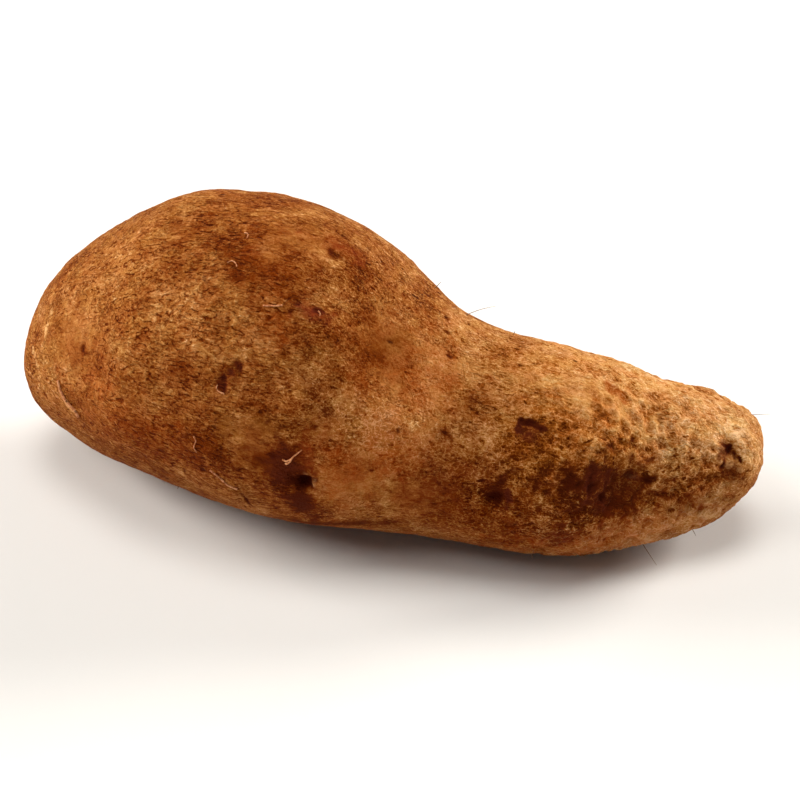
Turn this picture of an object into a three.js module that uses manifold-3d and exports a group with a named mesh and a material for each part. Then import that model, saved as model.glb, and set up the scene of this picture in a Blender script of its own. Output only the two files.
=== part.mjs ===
// A yam tuber: one solid root with a fat rounded head, a waist, and a tapering tail that ends in a blunt, warty tip.
// Millimetres, +Z up. The tuber lies on its side along X, head at -X and tip at +X, and its origin is the middle of
// its box on the surface it rests on. It touches that surface on two worn flats, one under the head, one under the tail.
// The front is the -Y side. Places on the skin are given as mm along from the head end and degrees around: 0 is the
// top, 90 the front, 180 the underside and 270 the back.

import * as THREE from 'three';
import { mergeVertices } from 'three/addons/utils/BufferGeometryUtils.js';
import { ImprovedNoise } from 'three/addons/math/ImprovedNoise.js';
import Module from 'manifold-3d';

const wasm = await Module();
wasm.setup();

// ---------------------------------------------------------------- driving dimensions

// Upright sections of the tuber from the head end to the tip. sideways is the centre's offset towards the back, and
// centre is its height. Where a section reaches below height 0, the resting flats are worn into it.
const STATIONS = [
  { along: 0, sideways: 2, centre: 41, halfWidth: 0, halfHeight: 0 },
  { along: 3, sideways: 2, centre: 41, halfWidth: 19, halfHeight: 19 },
  { along: 10, sideways: 2, centre: 42, halfWidth: 29, halfHeight: 29 },
  { along: 22, sideways: 4, centre: 45, halfWidth: 38, halfHeight: 38 },
  { along: 38, sideways: 4, centre: 49, halfWidth: 46, halfHeight: 46 },
  { along: 55, sideways: 3, centre: 53, halfWidth: 52, halfHeight: 52 },
  { along: 73, sideways: 2, centre: 54, halfWidth: 55, halfHeight: 55 },
  { along: 92, sideways: 0, centre: 54, halfWidth: 56, halfHeight: 56 },
  { along: 109, sideways: -2, centre: 54, halfWidth: 54, halfHeight: 54 },
  { along: 126, sideways: -4, centre: 52, halfWidth: 51, halfHeight: 50 },
  { along: 140, sideways: -3, centre: 46, halfWidth: 46, halfHeight: 44 },
  { along: 155, sideways: -4, centre: 41, halfWidth: 40, halfHeight: 39 },
  { along: 172, sideways: -2, centre: 37, halfWidth: 38, halfHeight: 36 },
  { along: 192, sideways: 0, centre: 35, halfWidth: 36, halfHeight: 36 },
  { along: 210, sideways: 3, centre: 33, halfWidth: 34, halfHeight: 34 },
  { along: 226, sideways: 9, centre: 31, halfWidth: 29, halfHeight: 29 },
  { along: 240, sideways: 14, centre: 31, halfWidth: 26, halfHeight: 25 },
  { along: 252, sideways: 17, centre: 31, halfWidth: 20, halfHeight: 20 },
  { along: 260, sideways: 17, centre: 34, halfWidth: 13, halfHeight: 13 },
  { along: 264, sideways: 16, centre: 35, halfWidth: 0, halfHeight: 0 },
];
const LENGTH = STATIONS[STATIONS.length - 1].along;

// The mesh of the skin: how many columns run along it, and how far apart its rings are.
const SKIN = { columns: 64, rings: 75, headSpacing: 5, tailSpacing: 2.5 };

// Broad unevenness of the whole root.
const LUMPS = { height: 1.7, size: 34 };

// Soft dents. depth is at the middle and lip is the raised rim round it; a negative depth is a swelling. stretch is
// the dent's length along the root over its width round the root. The ones past 180 are on the unseen back: guessed.
const DENTS = [
  { name: 'deep root hole', along: 122, around: 94, radius: 5.5, depth: 4.5, lip: 0.9, stretch: 1 },
  { name: 'fold, front', along: 126, around: 76, radius: 9, depth: 1.8, lip: 0, stretch: 0.8 },
  { name: 'fold, upper front', along: 130, around: 48, radius: 11, depth: 1.4, lip: 0, stretch: 0.8 },
  { name: 'fold, top', along: 128, around: 18, radius: 12, depth: 1.2, lip: 0, stretch: 0.8 },
  { name: 'waist swelling', along: 150, around: 60, radius: 13, depth: -1.6, lip: 0, stretch: 1 },
  { name: 'green scar', along: 183, around: 79, radius: 4.4, depth: 3, lip: 0.7, stretch: 1.2 },
  { name: 'bruised hollow', along: 222, around: 66, radius: 7.5, depth: 2.4, lip: 0.4, stretch: 1.7 },
  { name: 'tip scar', along: 256, around: 50, radius: 4.6, depth: 2.4, lip: 1, stretch: 1 },
  { name: 'swelling by the tip', along: 246, around: 30, radius: 8, depth: -1.2, lip: 0, stretch: 1 },
  { name: 'crown scar', along: 5, around: 238, radius: 6, depth: 2.2, lip: 1.2, stretch: 0.7 },
  { name: 'back of the head', along: 78, around: 292, radius: 6, depth: 2, lip: 0.5, stretch: 1.3 },
  { name: 'fold, back', along: 138, around: 285, radius: 11, depth: 2, lip: 0, stretch: 0.8 },
  { name: 'back root hole', along: 112, around: 256, radius: 5, depth: 3.4, lip: 0.8, stretch: 1 },
  { name: 'back of the tail', along: 204, around: 270, radius: 7, depth: 2.2, lip: 0.5, stretch: 1.5 },
];

// Small root scars, cut as shallow pits.
const PITS = [
  { name: 'streak', along: 98, around: 59, length: 8.5, width: 2.6, depth: 1.3, turn: 35 },
  { name: 'red hole', along: 119, around: 28, length: 4.4, width: 3.4, depth: 1.6, turn: 0 },
  { name: 'bright-edged spot', along: 117, around: 2, length: 5, width: 3.6, depth: 1.2, turn: 20 },
  { name: 'purple scar', along: 191, around: 41, length: 5, width: 3.4, depth: 1.4, turn: 0 },
  { name: 'scar tail', along: 196, around: 41, length: 6, width: 1.6, depth: 0.6, turn: 10 },
  { name: 'curl', along: 149, around: 60, length: 3.2, width: 2, depth: 0.7, turn: 60 },
  { name: 'dash', along: 153, around: 352, length: 5, width: 1.7, depth: 0.8, turn: 0 },
  { name: 'star', along: 37, around: 61, length: 3.6, width: 3, depth: 0.9, turn: 0 },
  { name: 'head crease', along: 103, around: 110, length: 10, width: 1.6, depth: 0.8, turn: -25 },
  { name: 'tip crack', along: 260, around: 72, length: 7, width: 1.4, depth: 0.9, turn: -40 },
  { name: 'back scar', along: 168, around: 262, length: 5, width: 3.4, depth: 1.5, turn: 15 },
  { name: 'back streak', along: 56, around: 305, length: 8, width: 2.4, depth: 1.1, turn: -30 },
  { name: 'back spot', along: 92, around: 318, length: 4, width: 3, depth: 1.2, turn: 0 },
  { name: 'far tail scar', along: 236, around: 300, length: 5, width: 3, depth: 1.2, turn: 0 },
];

// Rounded warts all over the tail.
const WARTS = { from: 180, full: 216, pitch: 5.8, radius: 2.4, height: 1.05, seed: 11 };

// Stubs of broken-off rootlets: the ones that show on the outline, then scattered ones.
const STUBS = {
  placed: [
    { along: 145, around: 327, height: 2.6 },
    { along: 174, around: 328, height: 1.5 },
    { along: 70, around: 129, height: 1.8 },
    { along: 7, around: 63, height: 1.5 },
    { along: 201, around: 134, height: 2 },
    { along: 119, around: 30, height: 1.6 },
    { along: 120, around: 88, height: 1.8 },
  ],
  scattered: 16,
  seed: 5,
  sides: 5,
  radius: 1.3,
  tipRadius: 0.6,
  sunk: 3,
};

const COLOUR = 0x9a5f30;

// ---------------------------------------------------------------- helpers

const clamp = THREE.MathUtils.clamp;
const degrees = THREE.MathUtils.degToRad;
const lerp = THREE.MathUtils.lerp;
const smooth = THREE.MathUtils.smoothstep;

function seededRandom(seed) {
  let state = seed >>> 0;
  return () => {
    state = (state + 0x6d2b79f5) >>> 0;
    let mixed = Math.imul(state ^ (state >>> 15), 1 | state);
    mixed = (mixed + Math.imul(mixed ^ (mixed >>> 7), 61 | mixed)) ^ mixed;
    return ((mixed ^ (mixed >>> 14)) >>> 0) / 4294967296;
  };
}

function toSolid(geometry) {
  const bare = geometry.clone();
  bare.deleteAttribute('normal');
  bare.deleteAttribute('uv');
  const merged = mergeVertices(bare, 1e-3);
  return new wasm.Manifold(
    new wasm.Mesh({
      numProp: 3,
      vertProperties: merged.getAttribute('position').array,
      triVerts: new Uint32Array(merged.index.array),
    }),
  );
}

function toGeometry(solid) {
  const mesh = solid.getMesh();
  const geometry = new THREE.BufferGeometry();
  geometry.setAttribute('position', new THREE.BufferAttribute(mesh.vertProperties, 3));
  geometry.setIndex(new THREE.BufferAttribute(mesh.triVerts, 1));
  return geometry;
}

// ---------------------------------------------------------------- the plain root

// The neighbour of each end is mirrored through the axis, so that the skin closes over the end in a round cap.
const mirrored = (station) => ({
  ...station,
  halfWidth: -station.halfWidth,
  halfHeight: -station.halfHeight,
});
const sections = [mirrored(STATIONS[1]), ...STATIONS, mirrored(STATIONS[STATIONS.length - 2])];
const HEAD_END = 1 / (sections.length - 1);
const TIP_END = 1 - HEAD_END;
const curveThrough = (points) => new THREE.CatmullRomCurve3(points, false, 'catmullrom', 0.5);
const spine = curveThrough(sections.map((s) => new THREE.Vector3(s.along, s.sideways, s.centre)));
const girth = curveThrough(sections.map((s) => new THREE.Vector3(s.along, s.halfWidth, s.halfHeight)));

function plainPoint(t, angle) {
  const centre = spine.getPoint(t);
  const size = girth.getPoint(t);
  return new THREE.Vector3(
    centre.x,
    centre.y - Math.sin(angle) * size.y,
    centre.z + Math.cos(angle) * size.z,
  );
}

function plainNormal(t, angle) {
  if (t <= HEAD_END) return new THREE.Vector3(-1, 0, 0);
  if (t >= TIP_END) return new THREE.Vector3(1, 0, 0);
  const alongStep = plainPoint(t + 0.001, angle).sub(plainPoint(t - 0.001, angle));
  const aroundStep = plainPoint(t, angle + 0.01).sub(plainPoint(t, angle - 0.01));
  return aroundStep.cross(alongStep).normalize();
}

// The share of the spine at which the root is this far along.
function shareAt(along) {
  let low = HEAD_END;
  let high = TIP_END;
  for (let i = 0; i < 40; i++) {
    const middle = (low + high) / 2;
    if (spine.getPoint(middle).x < along) low = middle;
    else high = middle;
  }
  return (low + high) / 2;
}

// A place on the plain root, with the skin's two directions and its normal there.
function skinPlace(along, around) {
  const t = shareAt(along);
  const angle = degrees(around);
  const normal = plainNormal(t, angle);
  const forward = plainPoint(t + 0.001, angle).sub(plainPoint(t - 0.001, angle)).normalize();
  const across = new THREE.Vector3().crossVectors(normal, forward).normalize();
  return { t, angle, point: plainPoint(t, angle), normal, forward, across };
}

// ---------------------------------------------------------------- relief

const noise = new ImprovedNoise();
function lumps(p) {
  const s = LUMPS.size;
  const broad = noise.noise(p.x / s + 3.1, p.y / s + 7.7, p.z / s + 1.3);
  const fine = noise.noise((2.3 * p.x) / s + 9.2, (2.3 * p.y) / s + 4.4, (2.3 * p.z) / s + 6.1);
  return LUMPS.height * (broad + 0.4 * fine);
}

const dents = DENTS.map((dent) => ({ ...dent, ...skinPlace(dent.along, dent.around) }));
function dentHeight(p) {
  let sum = 0;
  for (const d of dents) {
    const dx = (p.x - d.point.x) / d.stretch;
    const away = Math.hypot(dx, p.y - d.point.y, p.z - d.point.z) / d.radius;
    sum -= d.depth * Math.exp(-1.5 * away * away);
    sum += d.lip * Math.exp(-(((away - 1.25) / 0.4) ** 2));
  }
  return sum;
}

function wartPlaces() {
  const random = seededRandom(WARTS.seed);
  const places = [];
  for (let along = WARTS.from; along < LENGTH; along += WARTS.pitch * 0.87) {
    const size = girth.getPoint(shareAt(along));
    const count = Math.max(3, Math.round((2 * Math.PI * size.y) / WARTS.pitch));
    const turn = random() * 360;
    for (let i = 0; i < count; i++) {
      const around = turn + ((i + 0.5 * (random() - 0.5)) * 360) / count;
      const { point } = skinPlace(along + 0.4 * WARTS.pitch * (random() - 0.5), around);
      places.push({ point, height: WARTS.height * (0.5 + 0.7 * random()) });
    }
  }
  return places;
}

const warts = wartPlaces();
function wartHeight(p) {
  const strength = smooth(p.x, WARTS.from, WARTS.full);
  if (strength === 0) return 0;
  let sum = 0;
  for (const wart of warts) {
    const away = p.distanceTo(wart.point) / WARTS.radius;
    if (away < 2.5) sum += wart.height * Math.exp(-away * away);
  }
  return strength * sum;
}

function skinPoint(t, angle) {
  const p = plainPoint(t, angle);
  const strength = smooth(p.z, 2, 12); // the underside, which carries the weight, stays smooth
  const relief = lumps(p) + dentHeight(p) + wartHeight(p);
  return p.addScaledVector(plainNormal(t, angle), strength * relief);
}

// ---------------------------------------------------------------- the skin

// Where the rings sit along the spine: closer together over the tail, where the relief is finer.
function ringShares() {
  const samples = 3000;
  const cost = [0];
  let previous = girth.getPoint(HEAD_END);
  for (let i = 1; i <= samples; i++) {
    const here = girth.getPoint(lerp(HEAD_END, TIP_END, i / samples));
    const fineness = smooth(here.x, WARTS.from - 60, WARTS.full);
    const travel = Math.hypot(here.x - previous.x, here.y - previous.y);
    cost.push(cost[i - 1] + travel / lerp(SKIN.headSpacing, SKIN.tailSpacing, fineness));
    previous = here;
  }
  const shares = [];
  let at = 0;
  for (let ring = 0; ring <= SKIN.rings; ring++) {
    const wanted = (cost[samples] * ring) / SKIN.rings;
    while (at < samples && cost[at + 1] < wanted) at++;
    const step = clamp((wanted - cost[at]) / (cost[at + 1] - cost[at] || 1), 0, 1);
    shares.push(lerp(HEAD_END, TIP_END, (at + step) / samples));
  }
  return shares;
}

// A sphere whose poles become the head end and the tip, and whose vertices are moved onto the skin.
function skinGeometry() {
  const sphere = new THREE.SphereGeometry(1, SKIN.columns, SKIN.rings);
  const shares = ringShares();
  const position = sphere.getAttribute('position');
  for (let i = 0; i < position.count; i++) {
    const ring = Math.floor(i / (SKIN.columns + 1));
    const meridian = (i % (SKIN.columns + 1)) % SKIN.columns;
    const column = meridian - ring / 2; // half a column per ring keeps the triangles even
    const p = skinPoint(shares[ring], degrees(270 - (column * 360) / SKIN.columns));
    position.setXYZ(i, p.x, p.y, p.z);
  }
  return sphere;
}

// ---------------------------------------------------------------- scars and stubs

function pitSolid(pit) {
  const { t, angle, normal, forward, across } = skinPlace(pit.along, pit.around);
  const turned = forward.clone().applyAxisAngle(normal, degrees(pit.turn));
  const sideways = across.clone().applyAxisAngle(normal, degrees(pit.turn));
  const bowl = new THREE.SphereGeometry(1, 8, 6);
  bowl.scale(pit.length / 2, pit.width / 2, pit.depth);
  bowl.applyMatrix4(new THREE.Matrix4().makeBasis(turned, sideways, normal).setPosition(skinPoint(t, angle)));
  return toSolid(bowl);
}

function stubSolid(stub) {
  const { t, angle, normal } = skinPlace(stub.along, stub.around);
  const whole = stub.height + STUBS.sunk;
  const peg = new THREE.CylinderGeometry(STUBS.tipRadius, STUBS.radius, whole, STUBS.sides, 1);
  peg.translate(0, whole / 2 - STUBS.sunk, 0);
  const turn = new THREE.Quaternion().setFromUnitVectors(new THREE.Vector3(0, 1, 0), normal);
  peg.applyQuaternion(turn);
  const foot = skinPoint(t, angle);
  peg.translate(foot.x, foot.y, foot.z);
  return toSolid(peg);
}

function scatteredStubs() {
  const random = seededRandom(STUBS.seed);
  return Array.from({ length: STUBS.scattered }, () => ({
    along: lerp(18, LENGTH - 12, random()),
    around: lerp(-125, 100, random()),
    height: lerp(0.9, 1.7, random()),
  }));
}

let tuber = toSolid(skinGeometry());
tuber = tuber.subtract(wasm.Manifold.union(PITS.map(pitSolid)));
tuber = tuber.add(wasm.Manifold.union([...STUBS.placed, ...scatteredStubs()].map(stubSolid)));

// Everything below height 0 is worn away: this leaves the two resting flats.
const ground = new THREE.BoxGeometry(2 * LENGTH, LENGTH, 20).translate(LENGTH / 2, 0, -10);
tuber = tuber.subtract(toSolid(ground));

const geometry = toGeometry(tuber);
geometry.computeBoundingBox();
const middle = geometry.boundingBox.getCenter(new THREE.Vector3());
geometry.translate(-middle.x, -middle.y, 0);

const yam = new THREE.Mesh(
  geometry,
  new THREE.MeshStandardMaterial({ color: COLOUR, roughness: 0.85, metalness: 0, flatShading: true }),
);
yam.name = 'yam_tuber';

const root = new THREE.Group();
root.name = 'yam';
root.add(yam);

export default root;
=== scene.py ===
# Dresses a yam tuber: a fine corky skin over the solid root, with pits, warts, scars, rootlets and hairs.
# Sizes in the dictionaries are in millimetres. A place on the skin is given as mm along from the head end and
# degrees around: 0 is the top, 90 the front (-Y), 180 the underside and 270 the back.
import math
import random

import bmesh
import bpy
import numpy as np
from mathutils import Matrix, Vector, noise
from mathutils.bvhtree import BVHTree


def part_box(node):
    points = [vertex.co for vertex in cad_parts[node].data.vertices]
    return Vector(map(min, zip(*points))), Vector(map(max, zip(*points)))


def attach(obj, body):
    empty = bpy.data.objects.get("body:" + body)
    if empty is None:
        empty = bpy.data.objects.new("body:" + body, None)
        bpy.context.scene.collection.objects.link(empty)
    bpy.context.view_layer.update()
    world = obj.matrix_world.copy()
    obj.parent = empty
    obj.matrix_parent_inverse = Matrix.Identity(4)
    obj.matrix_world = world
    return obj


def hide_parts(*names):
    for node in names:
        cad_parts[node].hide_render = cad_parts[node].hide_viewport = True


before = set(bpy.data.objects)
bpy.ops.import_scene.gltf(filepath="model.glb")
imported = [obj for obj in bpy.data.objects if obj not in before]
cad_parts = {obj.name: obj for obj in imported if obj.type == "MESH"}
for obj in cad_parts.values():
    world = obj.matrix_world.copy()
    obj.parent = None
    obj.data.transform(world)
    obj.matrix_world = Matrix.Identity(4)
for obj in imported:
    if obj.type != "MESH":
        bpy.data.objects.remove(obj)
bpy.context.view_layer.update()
millimetre = 0.001
weldReach = 1e-6  # metres
headEnd, tipEnd = (corner[0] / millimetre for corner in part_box("yam_tuber"))

# camera and light

cameraView = {  # distance and target are in metres
    "azimuth": 17,
    "elevation": 38,
    "distance": 0.661,
    "lens": 85,
    "target": (0.0066, -0.0004, 0.045),
}


def wayTo(azimuth, elevation):
    # azimuth 0 is the front (-Y) and 90 the tip's side (+X)
    turn, rise = math.radians(azimuth), math.radians(elevation)
    return Vector((math.sin(turn) * math.cos(rise), -math.cos(turn) * math.cos(rise), math.sin(rise)))


def addCamera(view):
    data = bpy.data.cameras.new("main camera")
    data.lens = view["lens"]
    camera = bpy.data.objects.new("main camera", data)
    bpy.context.collection.objects.link(camera)
    back = wayTo(view["azimuth"], view["elevation"])
    camera.location = Vector(view["target"]) + back * view["distance"]
    camera.rotation_euler = back.to_track_quat("Z", "Y").to_euler()
    bpy.context.scene.camera = camera


studio = {
    "skyColour": (1.0, 0.97, 0.93),
    "skyStrength": 0.12,
    "lamps": {  # azimuth and elevation as the camera's
        "top softbox": {"azimuth": 0, "elevation": 88, "strength": 1.15, "colour": (1.0, 0.96, 0.9)},
        "front softbox": {"azimuth": 315, "elevation": 55, "strength": 0.72, "colour": (1.0, 0.96, 0.9)},
        "tip softbox": {"azimuth": 135, "elevation": 22, "strength": 3.5, "colour": (1.0, 0.95, 0.87)},
        "head softbox": {"azimuth": 270, "elevation": 22, "strength": 3.15, "colour": (1.0, 0.95, 0.87)},
    },
    "lampWidth": 26,  # degrees, as seen from the root
    "floorColour": (0.84, 0.84, 0.84),
    "floorRadius": 4.0,  # metres, as the backdrop's height
    "floorSides": 64,
    "backdropHeight": 2.5,
    "backdropColour": (1.0, 0.99, 0.97),
}


def addStageMesh(name, corners, faces, material):
    mesh = bpy.data.meshes.new(name)
    mesh.from_pydata(corners, [], faces)
    mesh.materials.append(material)
    made = bpy.data.objects.new(name, mesh)
    bpy.context.collection.objects.link(made)
    return made


def stageMaterial(name, colour, glow=0.0):
    material = bpy.data.materials.new(name)
    material.use_nodes = True
    shader = material.node_tree.nodes["Principled BSDF"]
    shader.inputs["Base Color"].default_value = (*colour, 1)
    shader.inputs["Emission Color"].default_value = (*colour, 1)
    shader.inputs["Emission Strength"].default_value = glow
    shader.inputs["Roughness"].default_value = 0.9
    return material


def addStudio(studio):
    scene = bpy.context.scene
    scene.view_settings.view_transform = "Standard"
    world = bpy.data.worlds.new("studio sky")
    scene.world = world
    world.use_nodes = True
    sky = world.node_tree.nodes["Background"]
    sky.inputs["Color"].default_value = (*studio["skyColour"], 1)
    sky.inputs["Strength"].default_value = studio["skyStrength"]
    for name, lamp in studio["lamps"].items():
        data = bpy.data.lights.new(name, "SUN")
        data.angle = math.radians(studio["lampWidth"])
        data.energy = lamp["strength"]
        data.color = lamp["colour"]
        light = bpy.data.objects.new(name, data)
        bpy.context.collection.objects.link(light)
        way = wayTo(lamp["azimuth"], lamp["elevation"])
        light.rotation_euler = way.to_track_quat("Z", "Y").to_euler()
    radius, sides = studio["floorRadius"], studio["floorSides"]
    turns = [2 * math.pi * i / sides for i in range(sides)]
    ring = [(radius * math.cos(turn), radius * math.sin(turn), 0) for turn in turns]
    addStageMesh("floor", ring, [tuple(range(sides))], stageMaterial("pale paper", studio["floorColour"]))
    top = [(x, y, studio["backdropHeight"]) for x, y, _ in ring]
    faces = [(i, (i + 1) % sides, (i + 1) % sides + sides, i + sides) for i in range(sides)]
    glowing = stageMaterial("lit backdrop paper", studio["backdropColour"], 1.0)
    backdrop = addStageMesh("backdrop", ring + top, faces, glowing)
    backdrop.visible_diffuse = False  # it is seen behind the root and lights nothing
    backdrop.visible_glossy = False
    backdrop.visible_shadow = False


addCamera(cameraView)
addStudio(studio)
print("camera, lights and floor are in place")

# the fine skin, made from the solid

fineness = {
    "voxel": 1.42,
    "rounding": 60,  # passes of Smooth, twice
    "fineFrom": 172,  # mm along, past which the faces are halved
    "fineScars": 0.5,  # scars at least this strong get halved faces too
    "fineRound": 1.7,  # as far out as this many times the scar
    "bulging": 0.6,  # how far halved faces follow the curve of the skin
}


def meshPoints(mesh):
    points = np.empty(len(mesh.vertices) * 3)
    mesh.vertices.foreach_get("co", points)
    return points.reshape(-1, 3) / millimetre


def meshNormals(mesh):
    normals = np.empty(len(mesh.vertices) * 3)
    mesh.vertices.foreach_get("normal", normals)
    return normals.reshape(-1, 3)


def setMeshPoints(mesh, points):
    mesh.vertices.foreach_set("co", (points * millimetre).ravel())
    mesh.update()


def rounded(skin, steps):
    # the skin's points after Blender's Smooth, which shrinks it a little
    relax = skin.modifiers.new("round the facets", "SMOOTH")
    relax.iterations = steps
    graph = bpy.context.evaluated_depsgraph_get()
    points = meshPoints(skin.evaluated_get(graph).data)
    skin.modifiers.clear()
    return points


def makeFineSkin(node, fineness):
    mesh = node.data.copy()
    welded = bmesh.new()
    welded.from_mesh(mesh)
    bmesh.ops.remove_doubles(welded, verts=welded.verts, dist=weldReach)
    welded.to_mesh(mesh)
    welded.free()
    mesh.materials.clear()
    skin = bpy.data.objects.new("yam_skin", mesh)
    bpy.context.collection.objects.link(skin)
    remesh = skin.modifiers.new("even faces", "REMESH")
    remesh.mode = "VOXEL"
    remesh.voxel_size = fineness["voxel"] * millimetre
    graph = bpy.context.evaluated_depsgraph_get()
    fine = bpy.data.meshes.new_from_object(skin.evaluated_get(graph))
    skin.modifiers.clear()
    skin.data = fine
    fine.name = "yam_skin"
    once = rounded(skin, fineness["rounding"])
    setMeshPoints(fine, once)
    twice = rounded(skin, fineness["rounding"])
    setMeshPoints(fine, 2 * once - twice)  # gives back what the rounding took from the broad shape
    return skin


skin = makeFineSkin(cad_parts["yam_tuber"], fineness)
print("the skin is remeshed and rounded")

# places on the skin


class Spine:
    # the middle of the root at each distance along it, from slices that overlap a little, evened out
    def __init__(self, points, slices=64, halfSlice=3, evenOver=5):
        edges = np.linspace(headEnd, tipEnd, slices + 1)
        self.x = (edges[1:] + edges[:-1]) / 2
        rows = [points[abs(points[:, 0] - x) < halfSlice] for x in self.x]
        middles = np.array([(row.min(0) + row.max(0)) / 2 for row in rows])[:, 1:]
        kernel = np.ones(evenOver) / evenOver
        padded = (np.pad(middles[:, i], evenOver // 2, "edge") for i in (0, 1))
        self.y, self.z = (np.convolve(run, kernel, "valid") for run in padded)

    def at(self, x):
        return np.interp(x, self.x, self.y), np.interp(x, self.x, self.z)


def bvhOf(mesh):
    corners = [Vector(p) for p in meshPoints(mesh)]
    return BVHTree.FromPolygons(corners, [tuple(p.vertices) for p in mesh.polygons])


spine = Spine(meshPoints(skin.data))
skinTree = bvhOf(skin.data)


def skinPlace(along, around):
    x = headEnd + along
    y, z = spine.at(x)
    angle = math.radians(around)
    ray = Vector((0, -math.sin(angle), math.cos(angle)))
    point, normal, _, _ = skinTree.ray_cast(Vector((x, y, z)), ray)
    if point is None:
        outside = Vector((x, y, z)) + ray * 20  # past the ends the ray can miss
        point, normal, _, _ = skinTree.find_nearest(outside)
    forward = (Vector((1, 0, 0)) - normal * normal.x).normalized()
    return point, normal, forward, normal.cross(forward)


def smoothStep(low, high, value):
    share = np.clip((value - low) / (high - low), 0, 1)
    return share * share * (3 - 2 * share)


def noiseOf(points, pitch, shift=0.0, stretch=1.0, octaves=1):
    # smooth noise from about -1 to 1; stretch lengthens it along the root
    scaled = points / pitch
    scaled[:, 0] /= stretch
    scaled += shift
    if octaves == 1:
        return np.array([noise.noise(p) for p in scaled])
    return np.array([noise.fractal(p, 1.0, 2.0, octaves) for p in scaled])


# root scars and stains: each is an oval, "at" so far along and around, its "size" along and across, turned by
# "turn" degrees. The rest is how strongly it shows as each kind of mark, and "depth", its pit in mm.

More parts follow.
